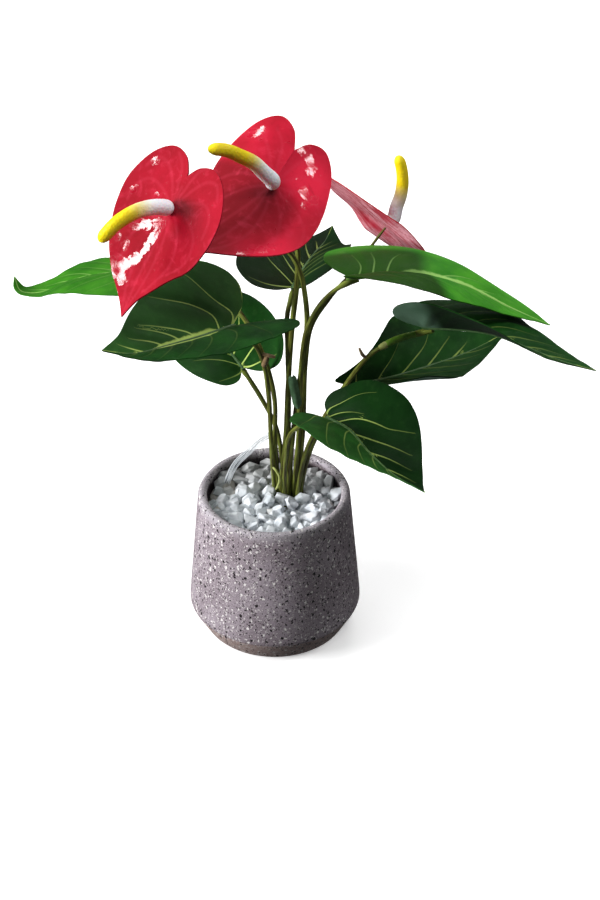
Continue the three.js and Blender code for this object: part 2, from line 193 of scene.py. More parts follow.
def fade(value, low, high, start=0.0, end=1.0):  # value from low to high becomes start to end, softly
    inputs = {"Value": value, "From Min": low, "From Max": high, "To Min": start, "To Max": end}
    return addNode("MapRange", inputs, interpolation_type="SMOOTHSTEP").outputs[0]


def grain(place, scale, detail=4.0, roughness=0.55, distortion=0.0):
    inputs = {"Vector": place, "Scale": scale, "Detail": detail, "Roughness": roughness,
              "Distortion": distortion}
    return addNode("TexNoise", inputs).outputs[0]


def stretch(place, *scale):
    return addNode("Mapping", {"Vector": place, "Scale": scale}).outputs[0]


def splitAxes(place):
    return addNode("SeparateXYZ", {0: place}).outputs


def finishShader(material, base, roughness, height=None, strength=0.0, depth=0.0, **values):
    shader = material.node_tree.nodes["Principled BSDF"]
    for key, value in {"Base Color": base, "Roughness": roughness, **values}.items():
        plug(shader.inputs[key.replace("_", " ")], value)
    if height is not None:
        bump = addNode("Bump", {"Height": height, "Strength": strength, "Distance": depth})
        plug(shader.inputs["Normal"], bump.outputs[0])
    return material


# camera, floor and light

stageSetup = {
    "cameraPlace": (0.0191, -1.0626, 0.9007), "lookDown": 35.18,  # degrees below the horizon
    "lens": 71.76, "sensor": 36, "clip": (0.05, 40),
    "floorSize": 9.0, "floorColour": (246, 246, 246), "floorCloud": (236, 236, 238), "floorGlow": 0.36,
    "worldColour": paint(246, 249, 252), "worldStrength": 0.10, "worldSeen": 0.92,
}


def buildCamera():
    camera = bpy.data.objects.new("camera", bpy.data.cameras.new("camera"))
    bpy.context.scene.collection.objects.link(camera)
    camera.location = stageSetup["cameraPlace"]
    camera.rotation_euler = (math.radians(90 - stageSetup["lookDown"]), 0, 0)
    camera.data.lens = stageSetup["lens"]
    camera.data.sensor_width = stageSetup["sensor"]
    camera.data.clip_start, camera.data.clip_end = stageSetup["clip"]
    bpy.context.scene.camera = camera
    bpy.context.scene.view_settings.view_transform = "Standard"


def buildFloor():
    clearSelection()
    bpy.ops.mesh.primitive_circle_add(vertices=96, radius=stageSetup["floorSize"] / 2, fill_type="NGON")
    floor = bpy.context.object
    floor.name = "floor"
    material, place = startMaterial("floorPaper")
    cloud = times(grain(place, 3.0), 0.06)
    colour = layered(stageSetup["floorColour"], (cloud, stageSetup["floorCloud"]))
    finishShader(material, colour, 0.9, Specular_IOR_Level=0.1, Emission_Color=(1, 1, 1, 1),
                 Emission_Strength=stageSetup["floorGlow"])
    floor.data.materials.append(material)
    floor.visible_diffuse = floor.visible_glossy = False  # its white doesn't fill the plant's shadows and gloss


def buildWorld():
    world = bpy.context.scene.world or bpy.data.worlds.new("studio")
    bpy.context.scene.world = world
    world.use_nodes = True
    nodes, links = world.node_tree.nodes, world.node_tree.links
    # fill lights the plant, and seen is what the camera sees
    fill, seen = nodes["Background"], nodes.new("ShaderNodeBackground")
    for node, strength in ((fill, stageSetup["worldStrength"]), (seen, stageSetup["worldSeen"])):
        node.inputs[0].default_value = stageSetup["worldColour"]
        node.inputs[1].default_value = strength
    mix, path = nodes.new("ShaderNodeMixShader"), nodes.new("ShaderNodeLightPath")
    links.new(path.outputs["Is Camera Ray"], mix.inputs[0])
    links.new(fill.outputs[0], mix.inputs[1])
    links.new(seen.outputs[0], mix.inputs[2])
    links.new(mix.outputs[0], nodes["World Output"].inputs[0])


lightAim = Vector((0.02, 0.0, 0.25))
lightSetup = {  # azimuth, elevation and distance from the aim, width, height, roll, watts, seen in the gloss
    "leftSoft": (-76, 12, 1.9, 0.9, 0.5, 0, 60.0, False),
    "backTop": (150, 62, 3.0, 1.4, 1.4, 0, 28.0, False),
    "frontTop": (35, 72, 2.6, 1.0, 1.0, 0, 21.0, False),
    "rightTop": (60, 62, 2.4, 0.8, 0.8, 0, 7.0, False),
    "leftWindow": (-87, 32, 1.7, 0.62, 0.15, 36, 9.0, True),
    "leftSpark": (-75, 29, 1.7, 0.10, 0.10, 0, 1.4, True),
    "rightWindow": (79, 50, 1.7, 0.10, 0.46, 0, 4.2, True),
    "backSpark": (-143, 64, 1.7, 0.18, 0.18, 0, 2.6, True),
    "backEdge": (164, 36, 1.7, 0.40, 0.14, 0, 1.5, True),
    "backSoft": (172, 22, 2.4, 1.0, 0.8, 0, 12.0, False),
}


def facing(azimuth, elevation):  # nought is towards the viewer, and the azimuth grows to the right
    turn, rise = math.radians(azimuth), math.radians(elevation)
    return np.array([math.cos(rise) * math.sin(turn), -math.cos(rise) * math.cos(turn), math.sin(rise)])


def buildLights():
    for name, (azimuth, elevation, distance, width, height, roll, watts, glossy) in lightSetup.items():
        light = bpy.data.lights.new(name, "AREA")
        light.shape = "RECTANGLE"
        light.size, light.size_y = width, height
        light.energy = watts
        away = Vector(facing(azimuth, elevation))
        lamp = bpy.data.objects.new(name, light)
        lamp.location = lightAim + away * distance
        lamp.visible_glossy = glossy
        turned = away.to_track_quat("Z", "Y") @ Quaternion((0, 0, 1), math.radians(roll))
        lamp.rotation_euler = turned.to_euler()
        bpy.context.scene.collection.objects.link(lamp)


buildCamera()
buildFloor()
buildWorld()
buildLights()
print("camera, floor and lights ready")


# curves

def hermite(first, last, leave, arrive, share):
    s = share[:, None]
    return (first + leave * s + (-3 * first + 3 * last - 2 * leave - arrive) * s ** 2
            + (2 * first - 2 * last + leave + arrive) * s ** 3)


def smoothLine(rows, even):
    # a smooth curve through the rows; an even one keeps straight stretches straight
    points = np.array(rows, float)
    ends = [2 * points[0] - points[1], *points, 2 * points[-1] - points[-2]]
    share = np.linspace(0, 1, 40, endpoint=False)
    line = []
    for a, b, c, d in zip(ends, ends[1:], ends[2:], ends[3:]):
        if even:
            before, here, after = [max(np.linalg.norm(q - p), 1e-6) ** 0.5 for p, q in ((a, b), (b, c), (c, d))]
            leave = ((b - a) / before - (c - a) / (before + here) + (c - b) / here) * here
            arrive = ((c - b) / here - (d - b) / (here + after) + (d - c) / after) * here
        else:
            leave, arrive = (c - a) / 2, (d - b) / 2
        line.append(hermite(b, c, leave, arrive, share))
    return np.vstack([*line, points[-1:]])


def splineTable(rows, count):  # points evenly spread over a curve through the rows
    points = np.array(rows, float)
    ends = [points[0], *points, points[-1]]
    table = []
    for value in np.linspace(0, len(points) - 1, count + 1):
        index = min(int(value), len(points) - 2)
        a, b, c, d = ends[index:index + 4]
        table.append(hermite(b, c, (c - a) / 2, (d - b) / 2, np.array([value - index]))[0])
    return np.array(table)


def window(place, start, end):  # nought before the start, 1 after the end, soft between them
    share = np.clip((place - start) / (end - start), 0, 1)
    return share * share * (3 - 2 * share)


class Rail:  # a curve that can be asked for its point and direction at any share of its length
    def __init__(self, rows, even=False):
        self.points = smoothLine(rows, even)
        steps = np.linalg.norm(np.diff(self.points, axis=0), axis=1)
        self.far = np.concatenate([[0], np.cumsum(steps)])
        self.length = self.far[-1]
        self.slopes = np.gradient(self.points, self.far + np.arange(len(self.far)) * 1e-9, axis=0)

    def at(self, share, table=None):
        table = self.points if table is None else table
        spot = np.asarray(share) * self.length
        return np.stack([np.interp(spot, self.far, table[:, k]) for k in range(3)], axis=-1)

    def direction(self, share):
        slope = self.at(share, self.slopes)
        return slope / np.linalg.norm(slope, axis=-1, keepdims=True)


def sweepTube(name, path, radii, sides, finish, marks={}):
    # a closed round bar along a path, marked with values along it; its UV map runs round it and along it
    forward = np.gradient(path, axis=0)
    forward /= np.linalg.norm(forward, axis=1, keepdims=True)
    side = np.cross(forward[0], [0.3, 1, 0.2])
    turns = np.linspace(0, 2 * math.pi, sides + 1)
    turns[-1] = 0
    points = np.zeros((len(path), sides + 1, 3))
    for index, centre in enumerate(path):
        side = side - forward[index] * side.dot(forward[index])
        side /= np.linalg.norm(side)
        up = np.cross(forward[index], side)
        points[index] = centre + (np.cos(turns)[:, None] * side + np.sin(turns)[:, None] * up) * radii[index]
    far = np.concatenate([[0], np.cumsum(np.linalg.norm(np.diff(path, axis=0), axis=1))])
    piece, spot = layGrid(name, points, *np.meshgrid(np.linspace(0, 1, sides + 1), far / 100))
    for mark, values in marks.items():
        markPoints(piece, mark, values[spot[0]])
    weld(piece)
    startEdit()
    selectAll("DESELECT")
    bpy.ops.mesh.select_mode(type="EDGE")
    bpy.ops.mesh.select_non_manifold()
    bpy.ops.mesh.edge_face_add()
    selectAll()
    bpy.ops.mesh.normals_make_consistent(inside=False)
    endEdit()
    piece.data.materials.append(finish)
    smooth(piece)
    return piece


# blades

# margin of one half, [across, along] in midrib lengths, from the notch at the base to the tip
leafOutline = [
    (0, -.01), (.09, -.17), (.22, -.25), (.35, -.15), (.39, .06), (.345, .3), (.235, .55), (.09, .82), (0, 1)]
spatheOutline = [(0, -.36), (.1, -.5), (.27, -.55), (.44, -.42), (.55, -.15), (.55, .14), (.46, .4), (.3, .64),
                 (.12, .83), (0, 1)]
bladeShape = {"crowding": 1.3, "sweepFrom": -.25, "sweepOver": .9, "cupSteps": 6}


def bladeFrame(blade, rail, along):
    inside = np.clip(along, 0, 1)
    tangent = rail.direction(inside)
    point = rail.at(inside) + tangent * ((along - inside) * rail.length)[..., None]
    first, last = [facing(*face) for face in blade["face"]]
    across = np.cross(tangent, first + (last - first) * inside[..., None])
    across /= np.linalg.norm(across, axis=-1, keepdims=True)
    return point, across, np.cross(across, tangent)


def bladeSpot(blade, along, offset):  # a point above or below the midrib
    point, _, up = bladeFrame(blade, Rail(blade["midrib"]), np.array(along, float))
    return point + up * offset


def halfTable(blade, rail, outline, side, rows, columns):
    # one half of a blade: rows from the base to the tip, columns from the midrib to the margin
    lobe = blade.get("lobe", (1, 1))[side]
    margin = splineTable([(x * blade["width"][side], y * lobe if y < 0 else y) for x, y in outline], rows)
    half = margin[:, 0].max() * rail.length
    root = (np.arange(rows + 1) / rows) ** bladeShape["crowding"]
    share = np.linspace(0, 1, columns + 1)
    reach = margin[:, :1] * share * rail.length
    along = root[:, None] + (margin[:, 1:] - root[:, None]) * share
    swept = 1 - np.clip((along - bladeShape["sweepFrom"]) / bladeShape["sweepOver"], 0, 1)
    sweep = np.radians(blade["sweep"][side]) * swept
    point, across, up = bladeFrame(blade, rail, np.minimum(along + np.sin(sweep) * reach / rail.length, 1))
    foldBase, foldTip = blade["fold"][side]
    fold = foldBase + (foldTip - foldBase) * window(along, 0, 1)
    distance = reach * np.cos(sweep)
    out, rise = np.zeros_like(distance), np.zeros_like(distance)
    steps = bladeShape["cupSteps"]
    for step in range(steps):
        angle = np.radians(fold + blade["cup"][side] * (step + .5) / steps * distance / half)
        out += np.cos(angle) * distance / steps
        rise += np.sin(angle) * distance / steps
    sign = (-1, 1)[side]
    return point + across * (sign * out)[..., None] + up * rise[..., None], sign * reach / rail.length, along


def bladeTables(blade, outline, rows, columns):
    rail = Rail(blade["midrib"])
    left, right = (halfTable(blade, rail, outline, side, rows, columns) for side in (0, 1))
    return rail, *[np.concatenate([a[:, :0:-1], b], axis=1) for a, b in zip(left, right)]


def layBlade(name, points, lift, across, along, marks):
    # lays the blade, lifted along its normals, and marks its vertices with the tables that its finish reads
    normal = np.cross(np.gradient(points, axis=1), np.gradient(points, axis=0))
    normal /= np.maximum(np.linalg.norm(normal, axis=-1, keepdims=True), 1e-9)
    piece, spot = layGrid(name, points + normal * lift[..., None], .5 + across * .8, (along + .6) / 1.65)
    for mark, table in marks.items():
        markPoints(piece, mark, table[spot])
    weld(piece)
    return piece


def mirrored(lines):
    return [[(-x, y) for x, y in line] for line in lines]


def lineGaps(across, along, lines, steps=16):
    # from each point to the nearest drawn line: the distance, the place along the line, and the side
    spots = np.stack([across, along], axis=-1).reshape(-1, 2)
    best, share, sign = np.full(len(spots), 9.0), np.zeros(len(spots)), np.ones(len(spots))
    for line in lines:
        line = splineTable(line, steps)
        for step, (a, b) in enumerate(zip(line[:-1], line[1:])):
            part = np.clip(((spots - a) @ (b - a)) / max((b - a) @ (b - a), 1e-12), 0, 1)
            away = spots - a - part[:, None] * (b - a)
            gap = np.linalg.norm(away, axis=1)
            nearer = gap < best
            share = np.where(nearer, (step + part) / steps, share)
            sign = np.where(nearer, np.where(away[:, 0] * (b - a)[1] < away[:, 1] * (b - a)[0], 1, -1), sign)
            best = np.minimum(best, gap)
    return [table.reshape(across.shape) for table in (best, share, sign)]


def spotOf(across, along, x, y, reach):  # 1 in the middle of a round spot, fading outward
    return np.exp(-((across - x) ** 2 + (along - y) ** 2) / reach ** 2)


def spotTable(spots, across, along, length):
    return np.max([spotOf(across, along, x, y, reach / length) for x, y, reach in spots] + [across * 0], axis=0)


def shadeTable(blade, across, along):  # how far painted shade darkens each point, from 0 to 1, or painted light lightens it, below 0
    depth = np.where(across < 0, *blade["paintedShadeByHalf"])
    if "shade" in blade:
        depth = depth + window(across, *blade["shade"][0]) * window(along, *blade["shade"][1])
    for x, y, reach, value in blade.get("paintedLightShadeSpots", ()):
        depth = depth + value * spotOf(across, along, x, y, reach)
    return np.clip(depth, -1, 1)


# leaves

leafShape = {
    "rows": 104, "columns": 38, "thickness": 0.7, "quilt": 0.8, "quiltReach": 4.5, "sunk": 0.6,
    "ribTaper": 1.1}

leafPrint = [  # the side veins printed on one half, [across, along] in midrib lengths, from the base up
    [(0, 0), (.04, -.09), (.12, -.17), (.22, -.22)],
    [(0, 0), (.07, -.06), (.18, -.02), (.3, .04), (.37, .1)],
    [(0, .06), (.09, .08), (.18, .17), (.26, .31), (.29, .41)],
    [(0, .2), (.07, .24), (.15, .35), (.21, .48), (.24, .55)],
    [(0, .33), (.06, .38), (.12, .5), (.16, .61)],
    [(0, .46), (.05, .53), (.1, .65), (.12, .72)],
    [(0, .6), (.04, .68), (.06, .79)],
    [(0, .73), (.025, .8), (.035, .88)],
]

# Pairs are for the left and the right half. The face is where the blade looks, azimuth and elevation, at
# base and tip, the fold how far each half is folded up at base and tip, the cup how far it curls on to its
# margin, and the sweep how far it swings back at the base, all in degrees. The value for each half, the shade
# window and the spots are painted shade that darkens it, and painted light that lightens it where below
# nought. The strength of its side veins is given for each half, and lowered on a half seen with a grazing
# sheen, as a painted sheen over the print; rib is the width of its midrib, and ribSpan the stretch where that
# is broad. A leaf's own veins replace the common print on that half.
leaves = {
    "leafA": {
        "midrib": [(-70, 62, 265), (-91, 62, 266), (-116, 63, 263), (-143, 66, 256), (-167, 69, 244),
                   (-184, 73, 242), (-189, 79, 251)],
        "face": [(-10, 94), (-11, 96)], "fold": [(33, 16), (-11, 14)], "cup": (-58, -10),
        "width": (1.05, .98),
        "sweep": (5, 9), "lobe": (.6, .9), "bright": True, "paintedShadeByHalf": (.52, .52), "inkAndSheen": (.5, .5), "rib": 2.2,
        "stalk": [(1, 8, 154), (1, 6, 191), (-5, 2, 226), (-12, 6, 243), (-22, 15, 257), (-33, 28, 263),
                  (-46, 42, 264), (-58, 53, 264)]},
    "leafB": {
        "midrib": [(-27, -22, 270), (-47, -47, 277), (-67, -71, 285), (-86, -95, 294), (-104, -117, 310)],
        "face": [(-5, 69), (-4, 68)], "fold": [(28, 15), (23, 17)], "cup": (1, -4), "width": (1, 1.08),
        "sweep": (4, 0), "paintedShadeByHalf": (.05, -.32), "inkAndSheen": (.1, 1), "rib": 3.6, "ribSpan": (.1, .17, .54, .6),
        "right": [
            [(0, 0), (.05, -.1), (.1, -.18), (.2, -.24), (.25, -.25)],
            [(0, .0), (.07, -.06), (.18, .0), (.33, .05), (.39, .09)],
            [(0, .1), (.09, .08), (.19, .18), (.26, .34), (.29, .41)],
            [(0, .28), (.05, .33), (.11, .47), (.15, .58)], [(0, .39), (.05, .44), (.1, .53), (.14, .62)],
            [(0, .52), (.05, .6), (.09, .72)], [(0, .68), (.03, .76), (.05, .84)]],
        "stalk": [(-2, 4, 160), (-3, 0, 197), (-6, -6, 228), (-12, -12, 249)]},
    "leafC": {
        "midrib": [(-23, 24, 208), (-38, 52, 212), (-55, 85, 214), (-73, 124, 212)],
        "face": [(3, 44), (-2, 39)], "fold": [(34, 13), (31, 14)], "cup": (-4, 15), "width": (1.05, 1.06),
        "sweep": (21, -5), "paintedShadeByHalf": (-.12, .5), "inkAndSheen": (1, 1.2), "rib": 1.0,
        "left": [
            [(0, 0), (.03, -.06), (.1, -.12), (.23, -.2)], [(0, .01), (.09, .06), (.2, .07), (.29, .05)],
            [(0, .12), (.1, .2), (.2, .3), (.28, .36)], [(0, .26), (.08, .36), (.17, .5)],
            [(0, .42), (.06, .53), (.12, .66)], [(0, .6), (.05, .72)]],
        "right": [
            [(0, 0), (.05, -.06), (.15, -.12), (.24, -.18)], [(0, .01), (.11, .02), (.22, .02), (.33, .06)],
            [(0, .12), (.1, .18), (.2, .28), (.28, .38)], [(0, .26), (.08, .36), (.17, .5)],
            [(0, .42), (.06, .53), (.12, .66)], [(0, .6), (.05, .72)]],
        "stalk": [(2, 15, 160), (-8, 18, 183)]},
    "leafD": {
        "midrib": [(14, 52, 258), (22, 85, 255), (30, 114, 251), (38, 138, 248), (44, 159, 250)],
        "face": [(-19, 37), (-21, 37)], "fold": [(34, 8), (38, 11)], "cup": (-3, -19), "width": (1.05, 1.06),
        "sweep": (2, 5), "paintedShadeByHalf": (.95, .85), "inkAndSheen": (1.4, 1), "rib": .8,
        "left": [
            [(0, -.01), (.1, -.11), (.18, -.16), (.26, -.18)], [(0, .02), (.12, .1), (.2, .16), (.29, .26)],
            [(0, .14), (.1, .25), (.19, .38)], [(0, .3), (.08, .42), (.15, .56)],
            [(0, .46), (.06, .58), (.11, .7)], [(0, .64), (.05, .76)]],
        "right": [
            [(0, -.01), (.06, -.1), (.15, -.17)], [(0, .02), (.13, .03), (.24, .02), (.33, .04)],
            [(0, .08), (.1, .13), (.2, .17), (.31, .24)], [(0, .2), (.1, .29), (.2, .37), (.27, .44)],
            [(0, .34), (.08, .44), (.18, .55)], [(0, .5), (.06, .62), (.11, .72)], [(0, .66), (.05, .77)]],
        "stalk": [(11, 17, 151), (11, 23, 182), (10, 33, 219), (10, 41, 241)]},
    "leafE": {
        "midrib": [(55, 3, 293), (80, 10, 292), (106, 13, 289), (134, 12, 281), (162, 8, 268),
                   (192, -1, 258)],
        "face": [(12, 100), (12, 96)], "fold": [(20, 6), (31, 9)], "cup": (-37, -44), "width": (1, 1.16),
        "sweep": (17, 32), "lobe": (.55, .7), "bright": True, "paintedShadeByHalf": (-.1, -.1),
        "shade": ((-.3, -.18), (.4, .27)),
        "paintedLightShadeSpots": [(-.1, .08, .3, .5), (.12, .1, .25, .4)], "inkAndSheen": (.75, .3), "rib": 6.0,
        "ribSpan": (.2, .3, .6, .95),
        "left": [
            [(.01, .03), (.09, .05), (.22, .02)], [(.01, .1), (.12, .12), (.22, .11)],
            [(.02, .17), (.13, .2), (.2, .24)],
            [(0, .4), (.06, .5), (.1, .62)], [(0, .58), (.05, .7)]],
        "stalk": [(18, 3, 164), (20, 2, 225), (24, 3, 252), (34, 5, 272)]},
    "leafF": {
        "midrib": [(107, 1, 255), (129, -11, 261), (151, -23, 264), (173, -32, 259), (196, -41, 254),
                   (218, -48, 251)],
        "face": [(-3, 96), (-4, 102)], "fold": [(16, 9), (41, 11)], "cup": (-36, 0), "width": (1.16, 1.03),
        "sweep": (-13, 18), "lobe": (.6, .7), "paintedShadeByHalf": (.2, .2), "underShade": (-.02, .13),
        "inkAndSheen": (.3, .75), "rib": 1.0,
        "right": [
            [(.03, 0), (.1, .03), (.23, .09), (.32, .16)],
            [(0, .1), (.08, .13), (.17, .18), (.27, .25), (.3, .3)],
            [(0, .22), (.07, .3), (.16, .4), (.24, .5)], [(0, .36), (.07, .46), (.15, .58)],
            [(0, .52), (.06, .62), (.11, .72)], [(0, .68), (.04, .8)], [(0, 0), (.06, -.09), (.16, -.16)]],
        "stalk": [(24, -2, 153), (38, -9, 190), (51, -14, 217), (68, -12, 241), (88, -6, 250)]},
    "leafG": {
        "midrib": [(39, -35, 203), (53, -55, 207), (65, -79, 206), (81, -108, 208), (99, -142, 219)],
        "face": [(-51, 90), (-52, 116)], "fold": [(32, -9), (26, 15)], "cup": (57, -16), "width": (1.06, .95),
        "sweep": (48, 29), "lobe": (1, .6), "paintedShadeByHalf": (.9, -.15), "inkAndSheen": (1, .3), "rib": 1.3,
        "left": [
            [(0, -.03), (.07, -.09), (.17, -.07), (.24, -.04), (.3, .02)],
            [(0, -.02), (.06, .0), (.1, .05), (.13, .12)],
            [(0, .07), (.08, .13), (.14, .22), (.18, .31), (.26, .44)],
            [(0, .24), (.07, .34), (.13, .46), (.17, .56)], [(0, .42), (.06, .52), (.11, .66)],
            [(0, .6), (.04, .7), (.06, .8)]],
        "stalk": [(9, -5, 150), (12, -12, 173), (21, -21, 188)]},
    "leafH": {
        "midrib": [(55, 13, 199), (85, 33, 193), (115, 51, 192), (145, 66, 195), (173, 80, 203)],
        "face": [(-7, 72), (-8, 74)], "fold": [(18, 14), (37, 13)], "cup": (-4, 14), "width": (1.12, 1.1),
        "sweep": (74, 29), "paintedShadeByHalf": (.1, .45), "inkAndSheen": (.6, .25), "rib": .9,
        "left": [
            [(0, .04), (.08, .0), (.18, -.05)], [(0, .18), (.06, .21), (.12, .26), (.21, .33)],
            [(0, .33), (.06, .42), (.12, .52), (.2, .6)], [(0, .5), (.06, .6), (.12, .7)],
            [(0, .66), (.05, .77)]],
        "stalk": [(28, 11, 148), (40, 13, 173)]},
}

# shadow is the colour of painted shade; glow is the colour of painted light and of the pale mottle
leafColours = {
    "dark": {"ground": (30, 78, 26), "deep": (17, 54, 17), "vein": (188, 214, 112),
             "shadow": (8, 24, 8), "glow": (76, 124, 62), "roughness": (.47, .6),
             "underGround": (132, 170, 144), "underDeep": (108, 148, 120)},
    "bright": {"ground": (66, 144, 32), "deep": (44, 118, 24), "vein": (150, 196, 104),
               "shadow": (24, 46, 6), "glow": (112, 184, 66), "roughness": (.45, .58),
               "underGround": (84, 142, 66), "underDeep": (62, 120, 50)},
}


def leafMaterial(kind, tint):
    material, place = startMaterial(kind + "Leaf")
    gap, side, share, inkAndSheen, rib, shade = readMarks(
        material, "veinGap", "veinSide", "veinShare", "veinInk", "ribGap", "shade")
    patch, fine, weave = grain(place, 38, 5), grain(place, 170, 4, .6), grain(place, 900, 2)
    tremble = minus(grain(place, 300, 3), .5)
    near = plus(calc("ABSOLUTE", side), times(tremble, .35))
    thin = minus(1.0, times(share, .5))  # a vein thins towards its end
    line = times(fade(near, times(thin, .4), thin, 1, 0), fade(gap, 1.6, 2.2, 1, 0))
    strength = times(inkAndSheen, fade(patch, .25, .6, .7, 1))
    spine = fade(plus(rib, times(tremble, .8)), .75, 1.3, 1, 0)
    # the shade mark is painted shade that darkens the leaf and its veins, and below nought painted light
    drawn = layered(tint["vein"], (times(shade, .55, clamp=True), tint["shadow"]))
    base = layered(
        tint["deep"], (fade(patch, .35, .7), tint["ground"]), (fade(fine, .5, .8, 0, .22), tint["glow"]),
        (fade(gap, .6, 3.2, .3, 0), tint["deep"]), (times(shade, .85, clamp=True), tint["shadow"]),
        (times(shade, -.85, clamp=True), tint["glow"]), (times(line, strength), drawn),
        (times(spine, .95), drawn))
    height = plus(plus(times(weave, .4), times(line, -.5)), times(fine, .8))
    rough = fade(patch, .2, .8, *tint["roughness"])
    return finishShader(material, base, rough, height, .35, .0006, Specular_IOR_Level=.15)


def underMaterial(kind, tint):
    material, place = startMaterial(kind + "LeafUnderside")
    gap, shade = readMarks(material, "veinGap", "underShade")
    patch = grain(place, 45, 5)
    # the underShade mark is painted shade on the underside
    base = layered(
        tint["underDeep"], (fade(patch, .3, .7), tint["underGround"]),
        (fade(gap, .3, 1.3, .25, 0), (104, 136, 84)), (shade, (20, 40, 20)))
    rough = fade(patch, .2, .8, .5, .62)
    return finishShader(material, base, rough, grain(place, 800, 2), .2, .0004, Specular_IOR_Level=.35)


leafFinishes = {
    kind: (leafMaterial(kind, tint), underMaterial(kind, tint)) for kind, tint in leafColours.items()}


def leafKind(leaf):
    return "bright" if "bright" in leaf else "dark"


def buildLeaf(name, leaf):
    rail, points, across, along = bladeTables(leaf, leafOutline, leafShape["rows"], leafShape["columns"])
    lines = mirrored(leaf.get("left", leafPrint)) + leaf.get("right", leafPrint)
    gaps, share, side = lineGaps(across, along, lines)
    gaps *= rail.length
    ribs = np.abs(across) * rail.length
    puff = 1 - np.exp(-(np.minimum(gaps, ribs) / leafShape["quiltReach"]) ** 2)  # the print's cells are quilted
    width = leaf["rib"] * (leafShape["ribTaper"] - np.clip(along, 0, 1))
    if "ribSpan" in leaf:
        start, full, fading, end = leaf["ribSpan"]
        width = width * (.25 + .75 * window(along, start, full) * (1 - window(along, fading, end)))
    marks = {
        "veinGap": gaps, "veinSide": gaps * side, "veinShare": share, "ribGap": ribs / width,
        # the vein strength of each half is print strength, lowered where a grazing sheen hides the print, as a
        # painted sheen
        "veinInk": (.95 - .73 * window(share, .2, 1)) * np.where(across < 0, *leaf["inkAndSheen"]),
        "shade": shadeTable(leaf, across, along),
        "underShade": window(along, *leaf["underShade"]) if "underShade" in leaf else along * 0,
    }
    piece = layBlade(name, points, leafShape["quilt"] * (puff - leafShape["sunk"]), across, along, marks)
    finishSheet(piece, leafShape["thickness"], leafFinishes[leafKind(leaf)])
    settle(piece, leafKind(leaf) + "_leaf", nodeName(name, "_blade"))


for leafName, leafTable in leaves.items():
    buildLeaf(leafName, leafTable)
print("leaf blades ready")


# flowers

spatheShape = {"rows": 120, "columns": 48, "thickness": 0.9, "nerve": 0.1, "nerveReach": 4, "sunk": 0.6,
               "wrinkle": 0.16, "dimple": 0.03}

spatheNerves = [
    [(0, 0), (.06, .2), (.1, .45), (.09, .7), (.03, .92)],
    [(0, 0), (.16, .12), (.27, .32), (.27, .52), (.17, .73)],
    [(0, 0), (.2, .0), (.38, .1), (.44, .26), (.38, .45)],
    [(0, 0), (.18, -.12), (.36, -.17), (.47, -.08), (.49, .08)],
    [(0, 0), (.12, -.2), (.25, -.34), (.38, -.36), (.46, -.26)],
    [(0, 0), (.05, -.2), (.1, -.36), (.2, -.46)],
]

